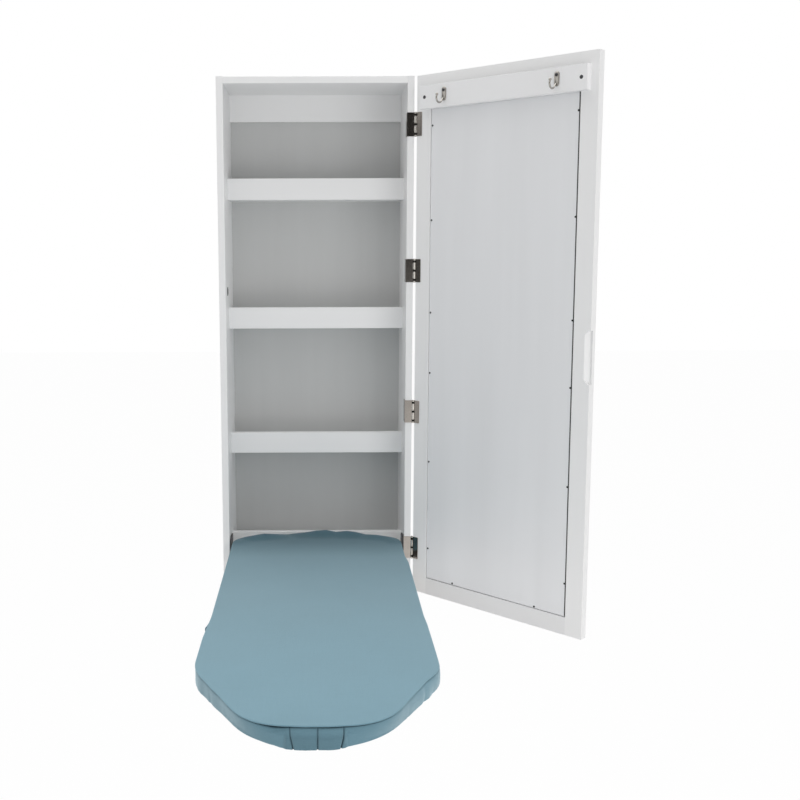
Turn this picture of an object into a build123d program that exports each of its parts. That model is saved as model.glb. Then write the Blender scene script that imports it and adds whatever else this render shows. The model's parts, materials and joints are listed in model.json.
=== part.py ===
from build123d import *
import math
import os

# Mirrored ironing board cabinet, hung on a wall.
# Origin: middle of the bottom edge of the back, on the wall plane.
# +X is to the right seen from the room, +Y goes into the wall, +Z is up. Millimetres.

# ---------------------------------------------------------------- carcass
cabinet_width = 390.0
cabinet_height = 1045.0
cabinet_depth = 173.0
panel_thickness = 13.5
edge_radius = 1.0
back_thickness = 4.0
back_rebate_width = 7.0
back_side_gap = 0.5
rail_height = 55.0
rail_thickness = 13.5
rail_lap = 5.0

# ---------------------------------------------------------------- shelves
shelf_thickness = 12.0
shelf_pitch = 266.0
storage_shelf_level = 277.5
storage_shelf_count = 3
low_shelf_level = 59.5
lip_height = 44.0
lip_thickness = 12.0
lip_setback = 78.5

# ---------------------------------------------------------------- wall hangers
hanger_spacing = 260.0
hanger_rise = 23.5
hanger_length = 46.0
hanger_width = 16.0
hanger_thickness = 1.6
keyhole_entry_radius = 4.5
keyhole_slot_radius = 2.3
keyhole_rise = 11.0
keyhole_pocket_depth = 8.0
keyhole_pocket_margin = 1.0
hanger_screw_inset = 5.0

# ---------------------------------------------------------------- door
door_open_angle = 136.3
door_gap = 2.6
door_reveal = 0.75
door_thickness = 18.0
door_edge_radius = 2.0
frame_width = 33.5
frame_ledge = 8.0
mirror_overlap = 6.0
mirror_thickness = 4.0
mirror_clearance = 1.0
backing_thickness = 4.0
backing_recess = 1.5
backing_gap = 1.5
lip_bevel = 2.0
tenon_depth = 20.0
tenon_thickness = 5.0
tenon_shoulder = 6.0
tenon_end_gap = 0.5

brad_inset = 4.0
brad_head_radius = 1.8
brad_head_thickness = 0.6
brad_radius = 0.7
brad_length = 12.0
brad_end_inset = 97.5
brad_middle_spacing = 121.0
brad_base_spacing = 190.0

finger_pull_width = 11.5
finger_pull_depth = 7.5
finger_pull_groove_radius = 3.0
finger_pull_length = 96.0
finger_pull_end_run = 8.0
finger_pull_height = 519.0

# ---------------------------------------------------------------- hook rail and coat hooks
hook_rail_height = 44.0
hook_rail_thickness = 12.0
hook_rail_drop = 22.25
hook_rail_end_inset = 15.5
hook_rail_screw_spacing = 336.0
hook_spacing = 242.0
hook_rise = 11.0
hook_plate_width = 10.0
hook_plate_height = 26.0
hook_plate_thickness = 1.6
hook_wire_radius = 1.75
hook_wire_inset = 3.5
hook_bend_radius = 7.0
hook_stem = 8.0
hook_tip_rise = 3.0
hook_ball_radius = 3.0
hook_screw_drop = 6.0

# ---------------------------------------------------------------- hinges
hinge_count = 4
hinge_end_inset = 93.0
hinge_height = 46.0
hinge_leaf_thickness = 1.1
hinge_flange_depth = 24.0
hinge_door_leaf_width = 12.6
hinge_corner_radius = 1.5
knuckle_radius = 2.4
knuckle_count = 5
knuckle_gap = 0.3
knuckle_clearance = 0.35
pin_radius = 1.2
pin_clearance = 0.05
pin_head_radius = 2.0
pin_head_thickness = 0.8
hinge_screw_spacing = 30.0
flange_screw_setback = 15.0
door_leaf_screw_inset = 7.6

# ---------------------------------------------------------------- ironing board
board_top_level = 105.0
board_half_width = 175.0
shoulder_half_width = 179.5
board_back_reach = 58.0
board_back_arc_radius = 356.0
board_back_corner_radius = 36.0
flare_start = 420.0
flare_end = 510.0
flare_radius = 300.0
shoulder_reach = 628.0
shoulder_radius = 120.0
nose_reach = 809.5
nose_half_width = 78.0
nose_radius = 114.0
cover_thickness = 1.5
cover_slack = 0.3
cover_hem_width = 10.0
pad_thickness = 9.0
pad_edge_radius = 4.0
deck_thickness = 15.0
tab_length = 42.0
tab_height = 14.0
tab_thickness = 1.6
tab_reach = 452.0

# ---------------------------------------------------------------- board pivot
pivot_setback = 22.0
pivot_height = 68.0
stud_radius = 4.0
stud_clearance = 0.08
bracket_thickness = 3.0
bracket_front_gap = 3.0
bracket_depth = 50.0
bracket_bottom = 34.0
bracket_top = 110.0
bracket_corner_radius = 8.0
bracket_screw_inset = 7.5
bracket_relief_clearance = 0.2
relief_margin = 0.5
stop_swing_radius = 24.0
stop_pin_radius = 3.0
stop_slot_clearance = 0.2
stop_pin_end_gap = 0.3
fold_angle = 90.0

arm_thickness = 2.5
arm_leg_height = 20.0
arm_flange_width = 25.0
arm_reach = 420.0
arm_flange_start = 24.0
arm_tail = 8.0
arm_end_radius = 6.0
arm_screw_count = 4
arm_screw_end_inset = 20.0
sleeve_radius = 7.0
sleeve_length = 15.4
sleeve_end_gap = 0.1
sleeve_bore_clearance = 0.05
nut_flats = 13.0
nut_thickness = 5.0
nut_gap = 0.1
stud_end = 1.0
pin_collar_radius = 5.0
pin_collar_thickness = 1.5

# ---------------------------------------------------------------- catch for the folded board
catch_height = 623.0
catch_length = 17.0
catch_width = 22.0
catch_setback = 33.0
catch_corner_radius = 2.0
catch_mortise_depth = 6.0
catch_ridge_rise = 1.2
catch_ridge_length = 12.0
catch_ridge_width = 5.0
catch_ridge_taper = 40.0

# ---------------------------------------------------------------- screws: head radius, shank radius, length
hinge_screw = (2.6, 1.4, 10.0)
bracket_screw = (3.2, 1.7, 12.0)
hanger_screw = (2.6, 1.4, 9.0)
hook_screw = (2.4, 1.3, 9.0)
rail_screw = (3.4, 1.7, 22.0)
countersink_angle = 90.0
arm_screw_head_radius = 3.5
arm_screw_head_height = 2.0
arm_screw_radius = 1.8
arm_screw_length = 13.0
arm_screw_head_edge = 0.8

# ---------------------------------------------------------------- derived places
inner_half = cabinet_width / 2 - panel_thickness
front_y = -cabinet_depth
back_y = -back_thickness
top_underside = cabinet_height - panel_thickness
rail_bottom = top_underside - rail_height
back_top = rail_bottom + rail_lap
hanger_height = rail_bottom + hanger_rise
lip_front_y = front_y + lip_setback
lip_back_y = lip_front_y + lip_thickness
shelf_levels = [low_shelf_level]
shelf_levels += [storage_shelf_level + i * shelf_pitch for i in range(storage_shelf_count)]

hinge_x = cabinet_width / 2 + knuckle_radius
hinge_y = front_y - door_gap / 2
hinge_step = (cabinet_height - 2 * hinge_end_inset) / (hinge_count - 1)
hinge_centres = [hinge_end_inset + i * hinge_step for i in range(hinge_count)]
knuckle_height = hinge_height / knuckle_count

door_width = cabinet_width
door_height = cabinet_height - 2 * door_reveal
ledge_depth = backing_recess + backing_thickness
lip_depth = ledge_depth + mirror_thickness
opening_edge = frame_width + frame_ledge
sight_edge = opening_edge + mirror_overlap
hook_rail_top = door_reveal + door_height - hook_rail_drop
hook_rail_middle = hook_rail_top - hook_rail_height / 2
hook_level = hook_rail_top - hook_rail_height + hook_rise
brad_line = frame_width + brad_inset
brad_rows = [door_reveal + brad_end_inset, door_reveal + (door_height - brad_middle_spacing) / 2]
brad_rows.insert(1, sum(brad_rows) / 2)
brad_rows += [2 * door_reveal + door_height - z for z in brad_rows]

cover_bottom = board_top_level - 2 * cover_thickness - pad_thickness - deck_thickness
deck_bottom = cover_bottom + cover_thickness
deck_top = deck_bottom + deck_thickness
pad_top = deck_top + pad_thickness
shell_inset = cover_thickness + cover_slack

pivot_y = front_y + pivot_setback
stop_y = pivot_y + stop_swing_radius
bracket_face_x = inner_half - bracket_thickness
arm_half_spacing = bracket_face_x - sleeve_length - sleeve_end_gap
bracket_relief = hinge_leaf_thickness + bracket_relief_clearance
arm_top = deck_bottom
arm_foot = arm_top - arm_leg_height
arm_front_y = front_y - arm_reach
arm_tail_y = stop_y + arm_tail

RIGHT = 1
LEFT = -1
LOWER = -1
UPPER = 1
SUNK = (Align.CENTER, Align.CENTER, Align.MAX)
STANDING = (Align.CENTER, Align.CENTER, Align.MIN)


def save(piece, name):
    """Label one finished piece and write it out."""
    piece.part.label = name
    export_step(piece.part, f"parts/{name}.step")


def cross_panel(half_width, y_range, z_range):
    """Flat panel across the cabinet, between two depths and two heights."""
    with BuildPart() as panel:
        with BuildSketch(Plane.XY.offset(z_range[0])):
            with Locations((0, (y_range[0] + y_range[1]) / 2)):
                Rectangle(2 * half_width, y_range[1] - y_range[0])
        extrude(amount=z_range[1] - z_range[0])
    return panel


def front_edges(panel):
    """Long edges of the panel's front face."""
    return panel.faces().sort_by(Axis.Y)[0].edges().filter_by(Axis.X)


def flat_head_screws(places, size):
    """Flat-head wood screws, each head flush with its plane."""
    head_radius, shank_radius, length = size
    with BuildPart() as screws:
        with Locations(*places):
            Cone(shank_radius, head_radius, head_radius - shank_radius, align=SUNK)
            Cylinder(shank_radius, length, align=SUNK)
    return screws


def flat_head_holes(places, size):
    """Countersunk holes for the same screws, cut in the piece being built."""
    head_radius, shank_radius, length = size
    with Locations(*places):
        CounterSinkHole(shank_radius, head_radius, length, countersink_angle)


def wall_place(side, y, z, height=0.0):
    """Plane on the inner face of a side panel, looking at the middle of the cabinet."""
    return Plane(origin=(side * (inner_half - height), y, z), x_dir=(0, 1, 0), z_dir=(-side, 0, 0))


# ---------------------------------------------------------------- frame of reference of the open door
# u runs from the hinge edge to the free edge, depth from the inner face to the mirror's side.
turn = math.radians(door_open_angle)
along_door = Vector(-math.cos(turn), -math.sin(turn), 0)
into_door = Vector(math.sin(turn), -math.cos(turn), 0)
hinge_foot = Vector(hinge_x, hinge_y, 0)
door_corner = hinge_foot + along_door * knuckle_radius + into_door * (door_gap / 2)
U_AXIS = Axis(door_corner, along_door)
DEPTH_AXIS = Axis(door_corner, into_door)


def door_plan(z):
    """Level plane of the door at one height: x is u, y is depth."""
    return Plane(origin=door_corner + Vector(0, 0, z), x_dir=along_door, z_dir=(0, 0, 1))


def door_place(u, depth, z):
    """Plane on the door at one point, looking out of its inner face: x is u, y is up."""
    corner = door_corner + along_door * u + into_door * depth + Vector(0, 0, z)
    return Plane(origin=corner, x_dir=along_door, z_dir=-into_door)


# section of the door frame: distance from the outer edge, and depth
frame_section = [
    (0, 0), (frame_width, 0), (frame_width, ledge_depth), (opening_edge, ledge_depth),
    (opening_edge, lip_depth), (sight_edge, lip_depth), (sight_edge, door_thickness - lip_bevel),
    (sight_edge - lip_bevel, door_thickness), (0, door_thickness)]


def stile_outline(end):
    """Outline of one stile in the level plane of the door."""
    return [(u if end == LEFT else door_width - u, depth) for u, depth in frame_section]


def rail_outline(end):
    """Outline of one rail in the plane across the door: depth, and height."""
    foot = door_reveal
    head = door_reveal + door_height
    return [(depth, foot + rise if end == LOWER else head - rise) for rise, depth in frame_section]


def shoulder_plane(end):
    """Plane where the rails' tenons enter one stile, facing into it: x is depth from the middle."""
    u = sight_edge if end == LEFT else door_width - sight_edge
    origin = door_corner + along_door * u + into_door * (door_thickness / 2)
    return Plane(origin=origin, x_dir=into_door * end, z_dir=along_door * end)


def brad_holes():
    """Holes for the brads, cut in the piece being built."""
    with Locations(*brad_places):
        Cylinder(brad_radius, brad_length, align=SUNK, mode=Mode.SUBTRACT)


# ---------------------------------------------------------------- places of the fasteners
bracket_front = front_y + bracket_front_gap
bracket_rear = bracket_front + bracket_depth
bracket_screw_spots = [
    (bracket_front + bracket_screw_inset, bracket_bottom + bracket_screw_inset),
    (bracket_rear - bracket_screw_inset, bracket_bottom + bracket_screw_inset),
    (bracket_rear - bracket_screw_inset, bracket_top - bracket_screw_inset)]


def bracket_screw_places(side):
    """Places of the screws in one pivot bracket."""
    return [wall_place(side, y, z, bracket_thickness) for y, z in bracket_screw_spots]


def hinge_screw_heights(centre):
    """Heights of the two screws in each leaf of one hinge."""
    return [centre + end * hinge_screw_spacing / 2 for end in (-1, 1)]


def flange_screw_places(centre):
    """Places of the screws in one hinge's cabinet leaf."""
    y = front_y + flange_screw_setback
    return [wall_place(RIGHT, y, z, hinge_leaf_thickness) for z in hinge_screw_heights(centre)]


def door_leaf_screw_places(centre):
    """Places of the screws in one hinge's door leaf."""
    return [door_place(door_leaf_screw_inset, -hinge_leaf_thickness, z)
            for z in hinge_screw_heights(centre)]


all_flange_screws = [place for centre in hinge_centres for place in flange_screw_places(centre)]
all_door_leaf_screws = [place for centre in hinge_centres for place in door_leaf_screw_places(centre)]
hanger_plane = Plane(origin=(0, 0, hanger_height + keyhole_rise / 2), x_dir=(-1, 0, 0), z_dir=(0, 1, 0))
hanger_xs = [side * hanger_spacing / 2 for side in (LEFT, RIGHT)]
hanger_screw_rise = hanger_length / 2 - hanger_screw_inset
hanger_screw_places = [hanger_plane.location * Pos(x, end * hanger_screw_rise)
                       for x in hanger_xs for end in (-1, 1)]
rail_screw_places = [
    door_place(door_width / 2 + side * hook_rail_screw_spacing / 2, -hook_rail_thickness, hook_rail_middle)
    for side in (LEFT, RIGHT)]
hook_us = [door_width / 2 + side * hook_spacing / 2 for side in (LEFT, RIGHT)]
hook_screw_places = [
    door_place(u, -hook_rail_thickness - hook_plate_thickness,
               hook_level + hook_plate_height - hook_screw_drop) for u in hook_us]
brad_spots = [(u, z) for u in (brad_line, door_width - brad_line) for z in brad_rows]
brad_spots += [(door_width / 2 + side * brad_base_spacing / 2, door_reveal + brad_line)
               for side in (LEFT, RIGHT)]
brad_places = [door_place(u, backing_recess, z) for u, z in brad_spots]
arm_screw_first = front_y - arm_flange_start - arm_screw_end_inset
arm_screw_last = arm_front_y + arm_screw_end_inset
arm_screw_step = (arm_screw_last - arm_screw_first) / (arm_screw_count - 1)
arm_screw_x = arm_half_spacing - arm_thickness - (arm_flange_width - arm_thickness) / 2
arm_screw_places = [
    Plane(origin=(side * arm_screw_x, arm_screw_first + i * arm_screw_step, arm_top - arm_thickness),
          z_dir=(0, 0, 1)) for side in (LEFT, RIGHT) for i in range(arm_screw_count)]

os.makedirs("parts", exist_ok=True)

# ---------------------------------------------------------------- side panels
catch_plane = wall_place(LEFT, front_y + catch_setback + catch_width / 2, catch_height)

for side, name in ((LEFT, "side_panel_left"), (RIGHT, "side_panel_right")):
    with BuildPart() as side_panel:
        with BuildSketch():
            with Locations((side * (inner_half + panel_thickness / 2), front_y / 2)):
                Rectangle(panel_thickness, cabinet_depth)
        extrude(amount=cabinet_height)
        fillet(side_panel.faces().sort_by(Axis.Y)[0].edges().filter_by(Axis.Z), edge_radius)
        with BuildSketch():
            with Locations((side * (inner_half + back_rebate_width / 2), back_y / 2)):
                Rectangle(back_rebate_width, back_thickness)
        extrude(amount=back_top, mode=Mode.SUBTRACT)
        flat_head_holes(bracket_screw_places(side), bracket_screw)
        if side == RIGHT:
            flat_head_holes(all_flange_screws, hinge_screw)
        else:
            with BuildSketch(catch_plane):
                RectangleRounded(catch_width, catch_length, catch_corner_radius)
            extrude(amount=-catch_mortise_depth, mode=Mode.SUBTRACT)
    save(side_panel, name)

# ---------------------------------------------------------------- top, bottom, back and hanging rail
for name, rear_y, z_range in (
    ("top_panel", 0, (top_underside, cabinet_height)),
    ("bottom_panel", back_y, (0, panel_thickness)),
):
    with BuildPart() as flat_panel:
        add(cross_panel(inner_half, (front_y, rear_y), z_range).part)
        fillet(front_edges(flat_panel), edge_radius)
    save(flat_panel, name)

back_half = inner_half + back_rebate_width - back_side_gap
save(cross_panel(back_half, (back_y, 0), (0, back_top)), "back_panel")

with BuildPart() as hanging_rail:
    with BuildSketch(Plane.YZ.offset(-inner_half)):
        with BuildLine():
            Polyline(
                (-rail_thickness, rail_bottom), (back_y, rail_bottom), (back_y, back_top), (0, back_top),
                (0, top_underside), (-rail_thickness, top_underside), close=True)
        make_face()
    extrude(amount=2 * inner_half)
    with BuildSketch(hanger_plane):
        with Locations(*[(x, 0) for x in hanger_xs]):
            SlotOverall(hanger_length, hanger_width, rotation=90)
    extrude(amount=-hanger_thickness, mode=Mode.SUBTRACT)
    with BuildSketch(hanger_plane):
        with Locations(*[(x, 0) for x in hanger_xs]):
            SlotCenterToCenter(keyhole_rise, 2 * (keyhole_entry_radius + keyhole_pocket_margin), rotation=90)
    extrude(amount=-hanger_thickness - keyhole_pocket_depth, mode=Mode.SUBTRACT)
    flat_head_holes(hanger_screw_places, hanger_screw)
save(hanging_rail, "hanging_rail")

with BuildPart() as keyhole_hangers:
    with BuildSketch(hanger_plane):
        with Locations(*[(x, 0) for x in hanger_xs]):
            SlotOverall(hanger_length, hanger_width, rotation=90)
            SlotCenterToCenter(keyhole_rise, 2 * keyhole_slot_radius, rotation=90, mode=Mode.SUBTRACT)
        with Locations(*[(x, -keyhole_rise / 2) for x in hanger_xs]):
            Circle(keyhole_entry_radius, mode=Mode.SUBTRACT)
    extrude(amount=-hanger_thickness)
    flat_head_holes(hanger_screw_places, hanger_screw)
save(keyhole_hangers, "keyhole_hangers")
save(flat_head_screws(hanger_screw_places, hanger_screw), "hanger_screws")

# ---------------------------------------------------------------- shelves and their lips
for number, level in enumerate(shelf_levels, start=1):
    shelf = cross_panel(inner_half, (lip_back_y, back_y), (level, level + shelf_thickness))
    save(shelf, f"shelf_{number}")
    with BuildPart() as shelf_lip:
        add(cross_panel(inner_half, (lip_front_y, lip_back_y), (level, level + lip_height)).part)
        fillet(front_edges(shelf_lip), edge_radius)
    save(shelf_lip, f"shelf_lip_{number}")

# ---------------------------------------------------------------- catch for the folded board
with BuildPart() as board_catch:
    with BuildSketch(catch_plane):
        RectangleRounded(catch_width, catch_length, catch_corner_radius)
    extrude(amount=-catch_mortise_depth)
    with BuildSketch(catch_plane):
        SlotOverall(catch_ridge_length, catch_ridge_width, rotation=90)
    extrude(amount=catch_ridge_rise, taper=catch_ridge_taper)
save(board_catch, "board_catch")


# ---------------------------------------------------------------- hinges
def hinge_barrel(centre, first_knuckle):
    """Add one leaf's knuckles, make room for the other leaf's, and bore them for the pin."""
    with Locations((hinge_x, hinge_y, centre)):
        Cylinder(knuckle_radius, hinge_height)
    foot = centre - hinge_height / 2
    for index in range(1 - first_knuckle, knuckle_count, 2):
        with Locations((hinge_x, hinge_y, foot + (index + 0.5) * knuckle_height)):
            Cylinder(knuckle_radius + knuckle_clearance, knuckle_height + knuckle_gap, mode=Mode.SUBTRACT)
    with Locations((hinge_x, hinge_y, centre)):
        Cylinder(pin_radius + pin_clearance, hinge_height, mode=Mode.SUBTRACT)


for number, centre in enumerate(hinge_centres, start=1):
    with BuildPart() as cabinet_leaf:
        with BuildSketch(Plane.XY.offset(centre - hinge_height / 2)):
            with BuildLine():
                Polyline(
                    (hinge_x, front_y),
                    (hinge_x, front_y - hinge_leaf_thickness),
                    (inner_half - hinge_leaf_thickness, front_y - hinge_leaf_thickness),
                    (inner_half - hinge_leaf_thickness, front_y + hinge_flange_depth),
                    (inner_half, front_y + hinge_flange_depth),
                    (inner_half, front_y),
                    close=True)
            make_face()
        extrude(amount=hinge_height)
        fillet(cabinet_leaf.edges().filter_by(Axis.X).group_by(Axis.Y)[-1], hinge_corner_radius)
        hinge_barrel(centre, 0)
        flat_head_holes(flange_screw_places(centre), hinge_screw)
    save(cabinet_leaf, f"hinge_cabinet_leaf_{number}")

    with BuildPart() as door_leaf:
        with BuildSketch(door_place((hinge_door_leaf_width - knuckle_radius) / 2, 0, centre)):
            Rectangle(hinge_door_leaf_width + knuckle_radius, hinge_height)
        extrude(amount=hinge_leaf_thickness)
        fillet(door_leaf.edges().filter_by(DEPTH_AXIS).group_by(U_AXIS)[-1], hinge_corner_radius)
        hinge_barrel(centre, 1)
        flat_head_holes(door_leaf_screw_places(centre), hinge_screw)
    save(door_leaf, f"hinge_door_leaf_{number}")

with BuildPart() as hinge_pins:
    with Locations(*[(hinge_x, hinge_y, centre) for centre in hinge_centres]):
        Cylinder(pin_radius, hinge_height)
    with Locations(*[(hinge_x, hinge_y, centre - hinge_height / 2) for centre in hinge_centres]):
        Cylinder(pin_head_radius, pin_head_thickness, align=SUNK)
    with Locations(*[(hinge_x, hinge_y, centre + hinge_height / 2) for centre in hinge_centres]):
        Cylinder(pin_head_radius, pin_head_thickness, align=STANDING)
save(hinge_pins, "hinge_pins")
save(flat_head_screws(all_flange_screws, hinge_screw), "hinge_cabinet_screws")
save(flat_head_screws(all_door_leaf_screws, hinge_screw), "hinge_door_screws")

# ---------------------------------------------------------------- scoop of the finger pull
pull_reach = math.hypot(finger_pull_width - finger_pull_groove_radius, finger_pull_depth)
pull_slope = math.atan2(finger_pull_depth, finger_pull_width - finger_pull_groove_radius)
pull_slope += math.asin(finger_pull_groove_radius / pull_reach)
pull_bevel = math.sqrt(pull_reach ** 2 - finger_pull_groove_radius ** 2)
pull_edge = door_width - finger_pull_width
pull_foot = finger_pull_height - finger_pull_length / 2
pull_head = finger_pull_height + finger_pull_length / 2

with BuildPart() as pull_scoop:
    with BuildSketch(door_plan(pull_foot)):
        with Locations((door_width - finger_pull_groove_radius, finger_pull_depth)):
            Circle(finger_pull_groove_radius)
        with BuildLine():
            Polyline(
                (pull_edge, 0),
                (pull_edge + pull_bevel * math.cos(pull_slope), pull_bevel * math.sin(pull_slope)),
                (door_width - finger_pull_groove_radius, finger_pull_depth),
                (door_width, finger_pull_depth),
                (door_width, 0),
                close=True)
        make_face()
    extrude(amount=finger_pull_length)
    with BuildSketch(door_place(0, 0, 0)):
        with BuildLine():
            Polyline(
                (pull_edge, pull_foot + finger_pull_end_run), (pull_edge, pull_head - finger_pull_end_run),
                (pull_edge + finger_pull_end_run, pull_head), (door_width, pull_head),
                (door_width, pull_foot), (pull_edge + finger_pull_end_run, pull_foot), close=True)
        make_face()
    extrude(amount=-door_thickness, mode=Mode.INTERSECT)


# ---------------------------------------------------------------- door frame
tenon_heights = [door_reveal + frame_width / 2, door_reveal + door_height - frame_width / 2]
tenon_height = frame_width - 2 * tenon_shoulder
tenon_length = sight_edge - frame_width + tenon_depth

for end, name in ((LEFT, "door_stile_hinge"), (RIGHT, "door_stile_free")):
    with BuildPart() as door_stile:
        with BuildSketch(door_plan(door_reveal)):
            with BuildLine():
                Polyline(*stile_outline(end), close=True)
            make_face()
        extrude(amount=door_height)
        outer_face = door_stile.faces().sort_by(DEPTH_AXIS)[-1]
        outer_edges = outer_face.edges().filter_by(Axis.Z).sort_by(U_AXIS)
        fillet(outer_edges[0] if end == LEFT else outer_edges[-1], door_edge_radius)
        with BuildSketch(shoulder_plane(end)):
            with Locations(*[(0, z) for z in tenon_heights]):
                Rectangle(tenon_thickness, tenon_height)
        extrude(amount=tenon_length + tenon_end_gap, mode=Mode.SUBTRACT)
        if end == LEFT:
            flat_head_holes(all_door_leaf_screws, hinge_screw)
        else:
            add(pull_scoop.part, mode=Mode.SUBTRACT)
        flat_head_holes(rail_screw_places, rail_screw)
        brad_holes()
    save(door_stile, name)

for end, name in ((LOWER, "door_rail_bottom"), (UPPER, "door_rail_top")):
    with BuildPart() as door_rail:
        with BuildSketch(Plane(origin=door_corner + along_door * frame_width, x_dir=into_door,
                               z_dir=along_door)):
            with BuildLine():
                Polyline(*rail_outline(end), close=True)
            make_face()
        extrude(amount=door_width - 2 * frame_width)
        outer_face = door_rail.faces().sort_by(DEPTH_AXIS)[-1]
        outer_edges = outer_face.edges().filter_by(U_AXIS).sort_by(Axis.Z)
        fillet(outer_edges[0] if end == LOWER else outer_edges[-1], door_edge_radius)
        with BuildSketch(door_plan(door_reveal)):
            for stile_end in (LEFT, RIGHT):
                with BuildLine():
                    Polyline(*stile_outline(stile_end), close=True)
                make_face()
        extrude(amount=door_height, mode=Mode.SUBTRACT)
        tenon_z = tenon_heights[0] if end == LOWER else tenon_heights[1]
        for stile_end in (LEFT, RIGHT):
            with BuildSketch(shoulder_plane(stile_end)):
                with Locations((0, tenon_z)):
                    Rectangle(tenon_thickness, tenon_height)
            extrude(amount=tenon_length)
        brad_holes()
    save(door_rail, name)

# ---------------------------------------------------------------- mirror, its backing and the brads
door_middle_z = door_reveal + door_height / 2
for name, depth, thickness, margin in (
    ("mirror_glass", ledge_depth, mirror_thickness, opening_edge + mirror_clearance),
    ("mirror_backing", backing_recess, backing_thickness, frame_width + backing_gap),
):
    with BuildPart() as sheet:
        with BuildSketch(door_place(door_width / 2, depth, door_middle_z)):
            Rectangle(door_width - 2 * margin, door_height - 2 * margin)
        extrude(amount=-thickness)
        brad_holes()
    save(sheet, name)

with BuildPart() as backing_brads:
    with Locations(*brad_places):
        Cylinder(brad_head_radius, brad_head_thickness, align=STANDING)
        Cylinder(brad_radius, brad_length, align=SUNK)
save(backing_brads, "backing_brads")

# ---------------------------------------------------------------- hook rail and coat hooks
with BuildPart() as hook_rail:
    with BuildSketch(door_place(door_width / 2, 0, hook_rail_middle)):
        Rectangle(door_width - 2 * hook_rail_end_inset, hook_rail_height)
    extrude(amount=hook_rail_thickness)
    fillet(hook_rail.faces().sort_by(DEPTH_AXIS)[0].edges(), edge_radius)
    flat_head_holes(rail_screw_places, rail_screw)
    flat_head_holes(hook_screw_places, hook_screw)
save(hook_rail, "hook_rail")
save(flat_head_screws(rail_screw_places, rail_screw), "hook_rail_screws")

for u, name in zip(hook_us, ("coat_hook_left", "coat_hook_right")):
    plate_plane = door_place(u, -hook_rail_thickness, hook_level + hook_plate_height / 2)
    wire_plane = Plane(
        origin=door_place(u, -hook_rail_thickness - hook_plate_thickness, hook_level + hook_wire_inset).origin,
        x_dir=-into_door, z_dir=along_door)
    with BuildPart() as coat_hook:
        with BuildSketch(plate_plane):
            SlotOverall(hook_plate_height, hook_plate_width, rotation=90)
        extrude(amount=hook_plate_thickness)
        with BuildLine(wire_plane) as wire:
            Line((-hook_plate_thickness / 2, 0), (hook_stem, 0))
            CenterArc((hook_stem, -hook_bend_radius), hook_bend_radius, 90, -90)
            Line((hook_stem + hook_bend_radius, -hook_bend_radius),
                 (hook_stem + hook_bend_radius, -hook_bend_radius - hook_tip_rise))
        with BuildSketch(Plane(origin=wire.line @ 0, z_dir=wire.line % 0)):
            Circle(hook_wire_radius)
        sweep(path=wire.line)
        with Locations(wire.line @ 1):
            Sphere(hook_ball_radius)
        flat_head_holes(hook_screw_places, hook_screw)
    save(coat_hook, name)
save(flat_head_screws(hook_screw_places, hook_screw), "coat_hook_screws")

# ---------------------------------------------------------------- ironing board
back_corner_drop = board_back_arc_radius - math.sqrt(board_back_arc_radius ** 2 - board_half_width ** 2)
back_y_board = front_y + board_back_reach
back_corner_y = back_y_board - back_corner_drop
shoulder_y = front_y - shoulder_reach
nose_y = front_y - nose_reach

with BuildSketch() as board_outline:
    with BuildLine():
        for side in (LEFT, RIGHT):
            Polyline(
                (side * board_half_width, back_corner_y),
                (side * board_half_width, front_y - flare_start),
                (side * shoulder_half_width, front_y - flare_end),
                (side * shoulder_half_width, shoulder_y),
                (side * nose_half_width, nose_y))
        Line((-nose_half_width, nose_y), (nose_half_width, nose_y))
        ThreePointArc((-board_half_width, back_corner_y), (0, back_y_board),
                      (board_half_width, back_corner_y))
    make_face()
    for corner_y, radius in (
        (back_corner_y, board_back_corner_radius),
        (front_y - flare_start, flare_radius),
        (front_y - flare_end, flare_radius),
        (shoulder_y, shoulder_radius),
        (nose_y, nose_radius),
    ):
        corners = [vertex for vertex in vertices() if abs(vertex.Y - corner_y) < 0.01]
        fillet(corners, radius)


def board_layer(inset, foot, head, top_radius=0.0):
    """Slab of the board's outline, set in from it, with its top edge rounded."""
    with BuildPart() as layer:
        with BuildSketch(Plane.XY.offset(foot)):
            add(board_outline.sketch)
            if inset > 0:
                offset(amount=-inset)
        extrude(amount=head - foot)
        if top_radius > 0:
            fillet(layer.faces().sort_by(Axis.Z)[-1].edges(), top_radius)
    return layer


with BuildPart() as board_deck:
    add(board_layer(shell_inset, deck_bottom, deck_top).part)
    with Locations(*arm_screw_places):
        Cylinder(arm_screw_radius, arm_screw_length, align=STANDING, mode=Mode.SUBTRACT)
save(board_deck, "board_deck")
save(board_layer(shell_inset, deck_top, pad_top, pad_edge_radius), "board_pad")

with BuildPart() as board_cover:
    add(board_layer(0, cover_bottom, board_top_level, pad_edge_radius + cover_thickness).part)
    add(board_layer(cover_thickness, deck_bottom, pad_top, pad_edge_radius).part, mode=Mode.SUBTRACT)
    add(board_layer(cover_hem_width, cover_bottom, deck_bottom).part, mode=Mode.SUBTRACT)
save(board_cover, "board_cover")

flare_run = flare_end - flare_start
flare_spread = shoulder_half_width - board_half_width
tab_x = board_half_width + flare_spread * (tab_reach - flare_start) / flare_run
tab_z = (cover_bottom + board_top_level) / 2 - pad_edge_radius / 2
with BuildPart() as cover_tab:
    with BuildSketch(Plane(origin=(-tab_x, front_y - tab_reach, tab_z), x_dir=(flare_spread, flare_run, 0),
                           z_dir=(-flare_run, flare_spread, 0))):
        Rectangle(tab_length, tab_height)
    extrude(amount=tab_thickness)
save(cover_tab, "cover_tab")


# ---------------------------------------------------------------- arms, pivots and brackets
def bar(side, x_range, y, z, radius):
    """Add a round bar on one side of the cabinet, between two distances from its middle."""
    with Locations(Plane(origin=(side * x_range[0], y, z), z_dir=(side, 0, 0))):
        Cylinder(radius, x_range[1] - x_range[0], align=STANDING)


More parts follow.
